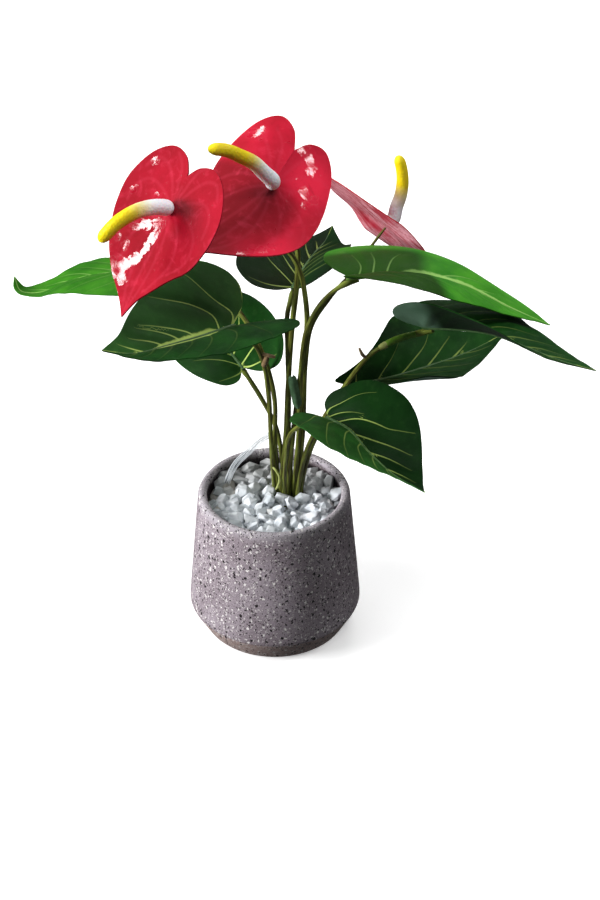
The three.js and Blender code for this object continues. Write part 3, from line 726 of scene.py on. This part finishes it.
# Gloss spots, which catch the light, are across, along and reach in millimetres. Dents add a height to that.
# the value for each half, the shade window and the spots are painted shade, and painted light where below
# nought, as on the leaves
flowers = {
    "flower1": {
        "midrib": [(-61, -58, 377), (-69, -65, 362), (-78, -73, 347), (-86, -83, 333), (-93, -94, 320)],
        "face": [(-47, 27), (-48, -2)], "fold": [(3, 4), (-4, 9)], "cup": (3, 19), "width": (1.08, 1.05),
        "sweep": (2, 5), "lobe": (.83, .91), "paintedShadeByHalf": (.62, .58),
        "gloss": [(.4, -.32, 3), (.48, -.02, 3), (.29, .26, 3.5), (.22, .22, 3.5), (.16, .2, 3.5),
                  (.1, .17, 3.5), (.04, .16, 3.5), (.05, .2, 3.4), (.05, .26, 3.4), (.06, .31, 3.4),
                  (.07, .37, 3.4), (.08, .42, 3.4), (.1, .48, 3.6), (.12, .53, 3.6), (.28, .44, 3.2),
                  (.38, .42, 3), (.18, .58, 4.5), (.24, .66, 6), (.33, .6, 4), (.15, .7, 4)],
        "dents": [(.4, -.32, 3, .4), (.48, -.02, 2.8, .4), (.28, .5, 5, -.4), (.33, .36, 3, .3),
                  (.2, .3, 3, -.3), (.25, .68, 3, .2), (.4, .5, 3, .2)],
        "stalk": [(14, 8, 160), (18, 9, 198), (22, 9, 231), (24, 8, 252), (23, 7, 273), (19, 6, 296),
                  (11, 6, 312), (-3, 2, 322), (-19, -6, 328), (-36, -17, 334), (-51, -26, 341),
                  (-58, -36, 353)],
        "spadix": [(-67, -63, 381), (-75, -72, 385), (-83, -80, 386), (-93, -86, 382), (-104, -91, 372)]},
    "flower2": {
        "midrib": [(0, 5, 361), (-9, -10, 353), (-21, -25, 348), (-37, -41, 345), (-56, -58, 346)],
        "face": [(26, 46), (26, 84)], "fold": [(-11, 4), (-6, 3)], "cup": (20, -43), "width": (.84, .88),
        "sweep": (12, -3), "lobe": (1.05, 1.06), "paintedShadeByHalf": (0, 0), "shade": ((-.33, -.18), (-.16, .02)),
        "paintedLightShadeSpots": [(-.22, -.28, .24, -1.2), (-.3, .45, .3, -.9), (.2, -.3, .3, .25)],
        "gloss": [(.34, -.36, 4.5), (.3, -.4, 3), (.0, -.44, 3), (-.06, -.44, 4), (-.12, -.43, 4),
                  (-.17, -.4, 4), (-.21, -.36, 3), (-.26, -.17, 4), (-.34, -.19, 4), (-.3, -.08, 3),
                  (-.23, .65, 3.2), (-.24, .56, 3.4), (-.27, .47, 3.4), (-.29, .39, 3)],
        "dents": [(-.08, -.44, 3.5, .3), (-.3, -.14, 3, -.3)],
        "stalk": [(9, 6, 164), (11, 7, 209), (14, 10, 254), (17, 13, 284), (17, 14, 312), (9, 13, 338)],
        "spadix": [(1, 1, 367), (-4, -4, 375), (-11, -11, 386), (-19, -18, 394), (-28, -24, 401),
                   (-39, -28, 404)]},
    "flower3": {  # its striped underside is seen; plain spots leave the stripes out
        "midrib": [(83, 114, 273), (65, 117, 289), (46, 121, 305), (24, 126, 320)],
        "face": [(146, 57), (84, 53)], "fold": [(-10, 16), (-2, -31)], "cup": (37, -10), "width": (.7, 1.22),
        "sweep": (-6, 15), "lobe": (.86, 1.06), "slender": .55, "paintedShadeByHalf": (.2, .3), "stripes": .9,
        "plain": [(.44, .02, 11), (.36, -.06, 10), (.42, .12, 8)],
        "dents": [(.3, .1, 5, .6), (-.3, -.2, 5, -.6)],
        "stalk": [(21, 11, 158), (23, 18, 215), (27, 32, 237), (40, 54, 247), (57, 81, 253), (69, 102, 259)],
        "spadix": [(88, 117, 278), (90, 119, 286), (93, 120, 296), (94, 121, 306), (93, 122, 316),
                   (90, 123, 326)]},
}


def spatheMaterial():
    material, place = startMaterial("glossyCrimson")
    gap, shade, wet = readMarks(material, "nerveGap", "shade", "glossSpot")
    patch, mottle, pucker = grain(place, 30, 4), grain(place, 130, 5, .6, .8), grain(place, 240, 2, .5, .6)
    # the shade mark is painted shade towards dark maroon, and below nought painted light towards bright crimson
    base = layered(
        (150, 8, 28), (fade(patch, .3, .75), (188, 16, 46)), (times(shade, .75, clamp=True), (98, 2, 12)),
        (times(shade, -.8, clamp=True), (240, 38, 70)), (fade(gap, .2, 2.0, .1, 0), (208, 66, 90)),
        (fade(mottle, .5, .75, 0, .2), (224, 64, 92)), (fade(mottle, .25, .45, .25, 0), (120, 2, 18)))
    torn = plus(wet, times(minus(pucker, .5), 1.8))  # the gloss spots have ragged edges
    rough = fade(torn, .34, .5, .8, .13)
    return finishShader(material, base, rough, pucker, .16, .0005, Specular_IOR_Level=.45)


def spatheUnderMaterial():
    material, place = startMaterial("crimsonUnderside")
    gap, shade, stripe = readMarks(material, "nerveGap", "shade", "stripe")
    patch = grain(place, 34, 4)
    streak = fade(grain(stretch(coordinates(material, "UV"), 46.0, 5.0, 1.0), 1.0, 5, .65, .5), .4, .6, .1, 1)
    fleck = fade(grain(place, 420, 4, .65), .3, .6, .4, 1)
    # the shade mark is painted shade on the underside as well
    base = layered(
        (152, 14, 34), (fade(patch, .3, .75), (186, 34, 58)), (times(shade, .8, clamp=True), (98, 2, 12)),
        (fade(gap, .3, 1.6, .2, 0), (214, 96, 112)), (times(stripe, times(streak, fleck)), (222, 164, 174)))
    return finishShader(material, base, fade(patch, .2, .8, .42, .56), grain(place, 700, 3), .3, .0005)


def spadixMaterial():
    material, place = startMaterial("spadixYellow")
    mottle = grain(place, 120, 4)
    along = plus(readMarks(material, "tipShare")[0], times(minus(mottle, .5), .12))
    base = layered(
        (234, 244, 250), (fade(along, .24, .62), (228, 204, 22)),
        (fade(mottle, .45, .8, 0, .25), (176, 150, 60)))
    beads = addNode("TexVoronoi", {"Vector": place, "Scale": 620.0}).outputs["Distance"]
    return finishShader(material, base, .45, beads, .4, .0008, Subsurface_Weight=.08)


spatheFinishes = (spatheMaterial(), spatheUnderMaterial())
spadixFinish = spadixMaterial()


def buildSpathe(name, flower):
    shape = spatheShape
    rail, points, across, along = bladeTables(flower, spatheOutline, shape["rows"], shape["columns"])
    nerves = spatheNerves + mirrored(spatheNerves) + [[(0, -.2), (0, 1)]]
    gaps = lineGaps(across, along, nerves)[0] * rail.length
    lift = np.array([[
        shape["wrinkle"] * noise.noise(Vector(p) * .045) + shape["dimple"] * noise.noise(Vector(p) * .17)
        for p in line] for line in points.tolist()])
    lift += shape["nerve"] * (1 - np.exp(-(gaps / shape["nerveReach"]) ** 2) - shape["sunk"])
    for x, y, reach, height in flower["dents"]:
        lift += height * spotOf(across, along, x, y, reach / rail.length)
    plain = spotTable(flower.get("plain", ()), across, along, rail.length)
    marks = {
        "nerveGap": gaps, "shade": shadeTable(flower, across, along),
        "glossSpot": spotTable(flower.get("gloss", ()), across, along, rail.length),
        "stripe": flower.get("stripes", 0) * (1 - plain),
    }
    piece = layBlade(name, points, lift, across, along, marks)
    finishSheet(piece, shape["thickness"], spatheFinishes)
    settle(piece, "spathe", nodeName(name, "_spathe"))


spadixShape = {
    "baseRadius": 5.3, "tipRadius": 4.1, "clear": .35, "seatTo": .08, "tipFrom": .9, "steps": 150,
    "sides": 40,
    "seatNarrowing": .75, "tipNarrowing": .985}


def buildSpadix(name, flower):
    shape = spadixShape
    start = bladeSpot(flower, 0, spatheShape["thickness"] / 2 + shape["clear"])
    path = Rail([start, *flower["spadix"]], even=True)
    share = np.linspace(0, 1, shape["steps"])
    body = shape["baseRadius"] + (shape["tipRadius"] - shape["baseRadius"]) * share
    dome = np.maximum(0, (share - shape["tipFrom"]) / (1 - shape["tipFrom"]))
    seat = np.maximum(0, 1 - share / shape["seatTo"])
    ends = np.sqrt(np.maximum(1 - shape["tipNarrowing"] * dome ** 2 - shape["seatNarrowing"] * seat ** 2, .01))
    piece = sweepTube(name + "Spadix", path.at(share), body * ends, shape["sides"], spadixFinish,
                      {"tipShare": share})
    settle(piece, "spadix", nodeName(name, "_spadix"))


for flowerName, flowerTable in flowers.items():
    buildSpathe(flowerName, flowerTable)
    buildSpadix(flowerName, flowerTable)
print("flowers ready")


# stalks

stalkShape = {
    "bunch": (10, 8), "straightTop": 112, "footDepth": 40, "steady": 7, "leafRadius": 1.7,
    "flowerRadius": 1.9,
    "leafGap": .3, "flowerGap": .6, "flowerNeck": 6, "sides": 16, "steps": 120, "ripple": .05, "waves": 23,
    "endTaper": .3, "taperFrom": .97, "slenderOver": (.6, .95),
    "plugged": (-.05, .03),  # where a stalk meets its leaf's midrib
    "jointPlace": .955, "jointReach": .018, "jointSwell": .32, "jointTone": (.9, .95),  # swollen, under a leaf
    "feet": {
        "leafA": (-7.5, 4.4), "leafB": (-10, 0), "leafC": (-2.5, 4.4), "leafD": (2.5, 4.4), "leafE": (5, 0),
        "leafF": (7.5, -4.4), "leafG": (-2.5, -4.4), "leafH": (10, 0),
        "flower1": (0, 0), "flower2": (-5, 0), "flower3": (7.5, 4.4)},
}


def stalkMaterial():
    material, place = startMaterial("stalkOlive")
    streak = grain(stretch(coordinates(material, "UV"), 9.0, 6.0, 1.0), 1.0, 5, .6, .4)
    fine = grain(place, 420, 3)
    # the palest streaks are streaky colour and painted highlights along the stalk
    base = layered(
        (68, 64, 26), (fade(streak, .38, .62), (110, 122, 48)),
        (fade(streak, .57, .72, 0, .7), (142, 144, 88)), (fade(fine, .6, .8, 0, .4), (60, 48, 26)),
        (times(readMarks(material, "jointShare")[0], .8), (124, 138, 58)))
    return finishShader(material, base, fade(fine, .2, .8, .42, .6), streak, .3, .0006)


stalkFinish = stalkMaterial()


def buildStalk(name, blade):
    shape = stalkShape
    x, y = np.add(shape["bunch"], shape["feet"][name])
    top = shape["straightTop"]
    leaf = name in leaves
    if leaf:
        radius = shape["leafRadius"]
        drop = -(leafShape["thickness"] / 2 + shape["leafGap"] + radius)
        before, under = shape["plugged"]
        ends = [bladeSpot(blade, before, 2 * drop), bladeSpot(blade, under, drop)]
    else:
        radius = shape["flowerRadius"]
        drop = -(spatheShape["thickness"] / 2 + shape["flowerGap"])
        ends = [bladeSpot(blade, 0, drop - shape["flowerNeck"]), bladeSpot(blade, 0, drop)]
    foot = [(x, y, top - shape["footDepth"]), (x, y, top - shape["steady"]), (x, y, top)]
    share = np.linspace(0, 1, shape["steps"])
    path = Rail([*foot, *blade["stalk"], *ends], even=True).at(share)
    radii = radius * (1 + shape["ripple"] * np.sin(share * shape["waves"] + x))
    radii *= 1 - shape["endTaper"] * window(share, shape["taperFrom"], 1)
    if leaf:
        radii *= 1 + shape["jointSwell"] * np.exp(-((share - shape["jointPlace"]) / shape["jointReach"]) ** 2)
    if "slender" in blade:
        radii *= 1 - (1 - blade["slender"]) * window(share, *shape["slenderOver"])
    marks = {"jointShare": window(share, *shape["jointTone"]) * leaf}
    piece = sweepTube(name + "Stalk", path, radii, shape["sides"], stalkFinish, marks)
    settle(piece, "stalk", nodeName(name, "_stalk"))


for plantName, plantTable in {**leaves, **flowers}.items():
    buildStalk(plantName, plantTable)
print("stalks ready")


# small growths on the stalks, and the raised midribs under the leaves

growths = {  # route, radii along it, finish
    "teeStub": ([(-7.6, -9, 239.6), (-3, -9.4, 238.4), (2, -9, 236.8)], (1.0, 1.5, 1.1), "brown"),
    "teeFoot": ([(-3.4, -9, 239), (-4.6, -8.8, 234), (-6.2, -8.2, 229)], (1.6, 2.2, 1.9), "brown"),
    "sideStub": ([(66, -12.6, 238), (62.5, -13.2, 241), (59.8, -13.4, 247)], (1.2, 1.3, .8), "brown"),
    "curledShoot": ([(-.7, 4.6, 133), (1.6, 2.2, 131.6), (3.8, 1.2, 128), (4, .8, 122.6), (2.8, 1.2, 118),
                     (1.2, 2.4, 114.4)], (.8, 1.0, 1.1, 1.1, 1.0, .7), "pale"),
    "sheathJoint": ([(73.6, -10.6, 245), (77.2, -9.8, 246.8), (81, -8.8, 248.4)], (1.8, 2.5, 2.2), "pale"),
    "greenSheath": ([(77.6, -9.7, 246.9), (83, -8, 249.2), (89, -5.4, 250.2), (95, -1.6, 249.8),
                     (100.6, 2.8, 248.4), (106, 2.4, 250.2), (112, -.6, 252.4)],
                    (2.4, 2.5, 2.4, 2.3, 2.2, 2.1, 1.2), "green"),
}
growthShape = {"steps": 30, "sides": 12, "endSize": .6}
midribShape = {"start": -.03, "end": .9, "gap": .1, "spots": 12, "steps": 60,
               "radii": (1.5, 1.4, 1.2, 1.0, .8, .6, .35)}


def growthMaterial(name, ground, deep):
    material, place = startMaterial(name)
    patch = grain(place, 260, 4)
    base = layered(deep, (fade(patch, .3, .7), ground))
    return finishShader(material, base, fade(patch, .2, .8, .4, .58), patch, .3, .0005)


growthFinishes = {
    "brown": growthMaterial("dryTip", (140, 116, 86), (98, 78, 54)),
    "pale": growthMaterial("paleShoot", (166, 174, 104), (128, 138, 70)),
    "green": growthMaterial("freshSheath", (112, 154, 46), (78, 120, 30)),
    "dark": growthMaterial("darkRib", (86, 118, 74), (58, 88, 50)),
    "bright": growthMaterial("brightRib", (128, 170, 84), (98, 142, 62)),
    "scale": growthMaterial("darkScale", (78, 108, 80), (54, 80, 54)),
}


def buildGrowth(name, route, radii, finish, steps=growthShape["steps"], slot="stalk"):
    share = np.linspace(0, 1, steps)
    thick = np.interp(share, np.linspace(0, 1, len(radii)), radii)
    thick[[0, -1]] *= growthShape["endSize"]
    path = Rail(route, even=True).at(share)
    settle(sweepTube(name, path, thick, growthShape["sides"], growthFinishes[finish]), slot)


def buildMidrib(name, leaf):
    kind, shape = leafKind(leaf), midribShape
    under = -(leafShape["thickness"] / 2 + shape["gap"])
    places = np.linspace(shape["start"], shape["end"], shape["spots"])
    route = [bladeSpot(leaf, along, under) for along in places]
    buildGrowth(name + "Midrib", route, shape["radii"], kind, shape["steps"], kind + "_leaf")


scaleLeaf = {"route": [(17.6, -.6, 188), (16.6, -1.2, 196), (15, -1.6, 205), (13.4, -1.2, 215.5)],
             "flatSide": (0, 1, 0), "width": 6.2, "wrap": 2.1, "thickness": .6, "rows": 31, "columns": 9}


def layRibbon(name, ribbon, taper, bend):  # a narrow sheet along a route; taper and bend say how it is shaped
    share, place = np.linspace(0, 1, ribbon["rows"]), np.linspace(-.5, .5, ribbon["columns"])
    rail = Rail(ribbon["route"])
    ahead = rail.direction(share)
    wide = np.cross(ahead, ribbon["flatSide"])
    wide /= np.linalg.norm(wide, axis=1, keepdims=True)
    width = place[None, :, None] * ribbon["width"] * taper(share)[:, None, None]
    lift = bend(np.cross(wide, ahead)[:, None], place[None, :, None])
    points = rail.at(share)[:, None] + wide[:, None] * width + lift
    return layGrid(name, points, *np.meshgrid(.05 + place * .1, share))[0]


def buildScaleLeaf():  # the narrow dark scale that clings to the stalks and wraps round the one behind it
    scale = layRibbon(
        "scaleLeaf", scaleLeaf, lambda share: np.sqrt(np.clip(1.02 - np.abs(2 * share - 1) ** 7, .1, 1)),
        lambda side, place: np.array([0, 4 * scaleLeaf["wrap"], 0]) * place ** 2)
    finishSheet(scale, scaleLeaf["thickness"], [growthFinishes["scale"]])
    settle(scale, "dark_leaf")


for growthName, growth in growths.items():
    buildGrowth(growthName, *growth)
for leafName, leafTable in leaves.items():
    buildMidrib(leafName, leafTable)
buildScaleLeaf()
print("growths and midribs ready")


# pot

potShape = {
    "height": 116, "baseRadius": 54.5, "cornerRadius": 65, "cornerHeight": 20, "rimRadius": 55.5, "wall": 6,
    "lip": 2.4, "turnSteps": 128, "softEdge": 35,
    # radius and height of the foot's points
    "foot": [(0, 0), (52.8, 0), (54.2, .35), (55.1, 1.3), (63.9, 18), (64.8, 20.2), (64.7, 22.6)],
    "inside": [108, 60, 20, 9],  # heights, the last one the floor's
}
speckles = [  # cells per metre, largest share of a cell, share of cells left empty, colour, shift
    (255, .30, .62, (222, 218, 216), .01), (430, .38, .45, (214, 210, 209), .05),
    (760, .42, .35, (196, 190, 190), .09), (262, .32, .42, (28, 24, 26), .13),
    (450, .36, .45, (36, 31, 33), .17), (800, .42, .35, (60, 52, 55), .23),
]


def innerRadius(height):
    shape = potShape
    low, high, corner = shape["baseRadius"], shape["rimRadius"], shape["cornerHeight"]
    if height < corner:
        return low + (shape["cornerRadius"] - low) * height / corner - shape["wall"]
    share = (height - corner) / (shape["height"] - corner)
    return shape["cornerRadius"] + (high - shape["cornerRadius"]) * share - shape["wall"]


def potMaterial():
    material, place = startMaterial("speckledStone")
    x, y, z = splitAxes(place)
    radius = calc("SQRT", plus(times(x, x), times(y, y)))
    cloud, fine = grain(place, 26, 5), grain(place, 1100, 3)
    base = layered(
        (135, 124, 131), (fade(cloud, .3, .7), (158, 148, 156)), (fade(fine, .4, .7, 0, .5), (98, 88, 92)),
        (fade(z, .108, .1165, 0, .55), (182, 178, 184)),  # the rim
        (fade(z, .0185, .0205, .75, 0), (182, 158, 150)))  # the foot: a brownish tint, painted lighter to stand in for light bounced from the floor
    shake = addNode("TexNoise", {"Vector": place, "Scale": 620.0, "Detail": 1.0}).outputs[1]
    warp = addNode("VectorMath", {0: shake, 1: (.0021, .0021, .0034)}, operation="MULTIPLY").outputs[0]
    warped = addNode("VectorMath", {0: place, 1: warp}, operation="ADD").outputs[0]
    for cells, reach, empty, colour, shift in speckles:
        spot = addNode("Mapping", {"Vector": warped, "Location": (shift, shift * .7, shift * .4)}).outputs[0]
        cell = addNode("TexVoronoi", {"Vector": spot, "Scale": float(cells)}).outputs
        chance = addNode("SeparateColor", {0: cell["Color"]}).outputs[0]
        size = fade(chance, empty, 1.0, 0, reach)
        base = layered(base, (calc("LESS_THAN", cell["Distance"], size), colour))
    # the inside wall above the chips is painted dark: painted shade in the pot's hollow
    inside = times(fade(radius, .0505, .0525, 1, 0), fade(z, .108, .1145, 1, 0))
    base = layered(base, (times(inside, .8), (46, 34, 35)))
    return finishShader(material, base, fade(fine, .3, .7, .66, .8), plus(fine, times(cloud, .5)), .35, .0007)


def potOutline():
    shape = potShape
    lip, rim, high = shape["lip"], shape["rimRadius"], shape["height"]
    outline = shape["foot"] + [(rim + lip * .3, high - lip * 1.4)]
    turns = np.radians([0, 25, 50, 75, 90])
    outline += [(rim - lip + lip * math.cos(a), high - lip + lip * math.sin(a)) for a in turns]
    inner = rim - shape["wall"] + lip
    outline += [(inner - lip * math.cos(a), high - lip + lip * math.sin(a)) for a in math.pi / 2 - turns]
    return outline + [(innerRadius(height), height) for height in shape["inside"]] + [(0, shape["inside"][-1])]


def buildPot():
    clearSelection()
    bpy.ops.mesh.primitive_plane_add(size=1)
    pot = bpy.context.object
    pot.name = "potBody"
    startEdit()
    bpy.ops.mesh.merge(type="CENTER")
    bpy.ops.mesh.select_mode(type="VERT")
    selectAll()
    outline = potOutline()
    for (r0, z0), (r1, z1) in zip(outline, outline[1:]):
        bpy.ops.mesh.extrude_region_move(TRANSFORM_OT_translate={"value": ((r1 - r0) * mm, 0, (z1 - z0) * mm)})
    selectAll()
    bpy.ops.mesh.spin(steps=potShape["turnSteps"], angle=2 * math.pi, center=(0, 0, 0), axis=(0, 0, 1))
    selectAll()
    bpy.ops.mesh.remove_doubles(threshold=weldDistance)
    bpy.ops.mesh.normals_make_consistent(inside=False)
    endEdit()
    pot.data.materials.append(potMaterial())
    smooth(pot, potShape["softEdge"])
    settle(pot, "pot", "pot")


buildPot()
print("pot ready")


# marble chips

chipHeap = {
    "shapes": 10, "seed": 5, "cuts": 9, "cutDepth": (.38, .7), "chipped": .05, "size": (5.2, 8.2),
    "stretch": [(.95, 1.35), (.8, 1.1), (.65, .95)], "tilt": .7, "wallRoom": 4.4, "stalkRoom": 5.2,
    "unevenness": .9,
    "layers": [(99.5, 6.8, 0), (103.3, 7.0, 3), (106.6, 8.2, 3)],  # height, spacing, extra height in the middle
    "tries": 5000, "greyFrom": 106, "greyOver": 9,  # the lower chips are painted greyer, as shade in the gaps between them
}


def chipMaterial():
    material, place = startMaterial("whiteMarble")
    toneAndShade = readMarks(material, "chipToneAndShade")[0]
    cloud, glint = grain(place, 150, 5), grain(place, 1400, 2)
    back = fade(splitAxes(place)[1], -.012, .034)  # painted shadow of the leaves, darker towards the far side of the heap
    # the tone mark greys chips at random, and greys the lower chips as painted shade
    base = layered(
        (206, 212, 218), (fade(cloud, .3, .7), (242, 245, 249)),
        (fade(toneAndShade, .25, .95, 0, .6), (166, 174, 178)), (fade(toneAndShade, .93, .97, 0, .5), (176, 162, 142)),
        (times(back, .55), (116, 112, 102)))
    return finishShader(material, base, fade(glint, .35, .7, .4, .8), plus(glint, times(cloud, 2)), .4, .0009)


def chipShape(rng):  # a broken chip: an ico sphere cut by a few planes
    clearSelection()
    bpy.ops.mesh.primitive_ico_sphere_add(subdivisions=1, radius=1)
    chip = bpy.context.object
    startEdit()
    for _ in range(chipHeap["cuts"]):
        turn = Vector([rng.uniform(-1, 1) for _ in range(3)]).normalized()
        selectAll()
        bpy.ops.mesh.bisect(plane_co=turn * rng.uniform(*chipHeap["cutDepth"]), plane_no=turn, clear_outer=True,
                            use_fill=True)
    selectAll()
    bpy.ops.mesh.dissolve_limited(angle_limit=math.radians(12))
    bpy.ops.mesh.bevel(offset=chipHeap["chipped"], segments=1)
    selectAll()
    bpy.ops.transform.vertex_random(offset=chipHeap["chipped"], seed=rng.randrange(1000))
    endEdit()
    return chip


def scatterChips(rng):
    feet = [np.add(stalkShape["bunch"], foot) for foot in stalkShape["feet"].values()]
    uneven = chipHeap["unevenness"]
    placed = []
    for height, spacing, crown in chipHeap["layers"]:
        layer = []
        reach = innerRadius(height) - chipHeap["wallRoom"]
        for _ in range(chipHeap["tries"]):
            radius, angle = reach * math.sqrt(rng.random()), rng.uniform(0, 2 * math.pi)
            x, y = radius * math.cos(angle), radius * math.sin(angle)
            crowded = any((x - a) ** 2 + (y - b) ** 2 < spacing ** 2 for a, b, _ in layer)
            if crowded or min(math.hypot(x - a, y - b) for a, b in feet) < chipHeap["stalkRoom"]:
                continue
            layer.append((x, y, height + crown * (1 - radius / reach) + rng.uniform(-uneven, uneven)))
        placed += layer
    return placed


def placeChip(rng, shapes, x, y, z):
    source = rng.choice(shapes)
    chip = source.copy()
    chip.data = source.data.copy()
    bpy.context.scene.collection.objects.link(chip)
    size, tilt = rng.uniform(*chipHeap["size"]) * mm, chipHeap["tilt"]
    chip.scale = [size * rng.uniform(*span) for span in chipHeap["stretch"]]
    chip.rotation_euler = (rng.uniform(-tilt, tilt), rng.uniform(-tilt, tilt), rng.uniform(0, 6.28))
    chip.location = (x * mm, y * mm, z * mm)
    # each chip's tone is random, and the lower chips get painted shade on top of it
    deep = max(0, (chipHeap["greyFrom"] - z) / chipHeap["greyOver"])
    markPoints(chip, "chipToneAndShade", [rng.random() * .97 + deep * .45] * len(chip.data.vertices))
    return chip


def buildChips():
    rng = random.Random(chipHeap["seed"])
    shapes = [chipShape(rng) for _ in range(chipHeap["shapes"])]
    chips = [placeChip(rng, shapes, *place) for place in scatterChips(rng)]
    for source in shapes:
        bpy.data.objects.remove(source)
    makeActive(chips[0])
    for chip in chips:
        chip.select_set(True)
    bpy.ops.object.join()
    heap = bpy.context.object
    heap.name = "marbleChips"
    bpy.ops.object.transform_apply(location=True, rotation=True, scale=True)
    heap.data.materials.append(chipMaterial())
    settle(heap, "marble", "marble_chips")
    print("chips:", len(chips))


buildChips()


# film strip and filler

filmStrip = {"route": [(-39, 18, 99), (-30, 17.5, 124), (-20, 17, 137), (-10, 16, 149), (0, 15, 156)],
             "flatSide": (0, -.82, .58), "width": 4.8, "bow": .35, "thickness": .36, "rows": 41, "columns": 7,
             "softEdge": 40}


def filmMaterial():
    material, place = startMaterial("clearFilm")
    along = coordinates(material, "UV")
    crease = grain(place, 180, 3)
    edge = fade(calc("ABSOLUTE", minus(splitAxes(along)[0], .05)), .028, .048)  # nought to .1 across the strip
    fold = fade(grain(stretch(along, 70.0, 3.0, 1.0), 1.0, 3), .42, .58)
    # the pale edges, folds and creases are painted highlights on the clear film
    base = layered(
        (112, 118, 124), (calc("MAXIMUM", fold, edge), (238, 244, 248)),
        (fade(crease, .5, .8, 0, .5), (160, 170, 178)))
    rough = fade(crease, .3, .7, .08, .22)
    return finishShader(material, base, rough, crease, .3, .0008, Alpha=.48, Coat_Weight=.3)


def fillerMaterial():
    material, place = startMaterial("fillerFoam")
    cells = addNode("TexVoronoi", {"Vector": place, "Scale": 420.0}).outputs["Distance"]
    base = layered((52, 46, 38), (cells, (84, 76, 64)))
    return finishShader(material, base, .95, cells, .5, .001)


def buildStrip():
    strip = layRibbon("filmStrip", filmStrip, lambda share: np.ones_like(share),
                      lambda side, place: side * filmStrip["bow"] * (1 - 4 * place ** 2))
    finishSheet(strip, filmStrip["thickness"], [filmMaterial()], filmStrip["softEdge"])
    settle(strip, "film", "clear_film_strip")


buildStrip()
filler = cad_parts["filler_block"]
filler.data.materials.clear()
filler.data.materials.append(fillerMaterial())
print("strip and filler ready")
